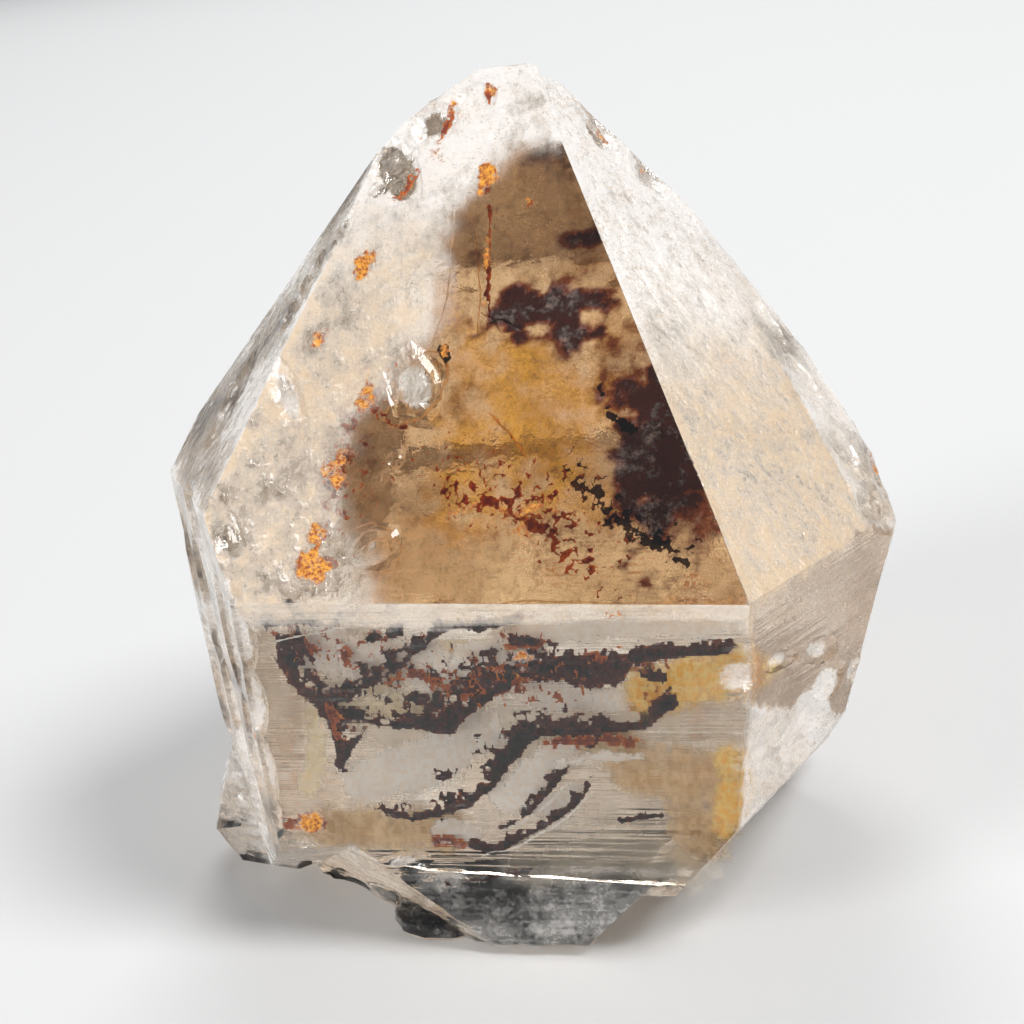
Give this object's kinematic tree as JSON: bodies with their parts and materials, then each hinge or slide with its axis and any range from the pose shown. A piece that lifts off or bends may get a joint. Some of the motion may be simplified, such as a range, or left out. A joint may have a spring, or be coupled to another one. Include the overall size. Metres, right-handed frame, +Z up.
{
  "type": "enhydro quartz crystal",
  "caption": "Stout smoky quartz point with a broken foot, dark flakes and rust stains inside, and fluid cavities; stands upright on its foot.",
  "frame": {"origin": "on the flat resting spot of the foot, under the middle of the prism", "axes": "+Z up along the crystal's long axis to the tip; -Y out of the widest prism face; -Z out of the resting spot"},
  "size_m": [0.0531, 0.0412, 0.0568],
  "materials": {
    "quartz": "clear to smoky, part frosted"
  },
  "bodies": {
    "root": {"quartz_crystal": "quartz"}
  },
  "joints": []
}
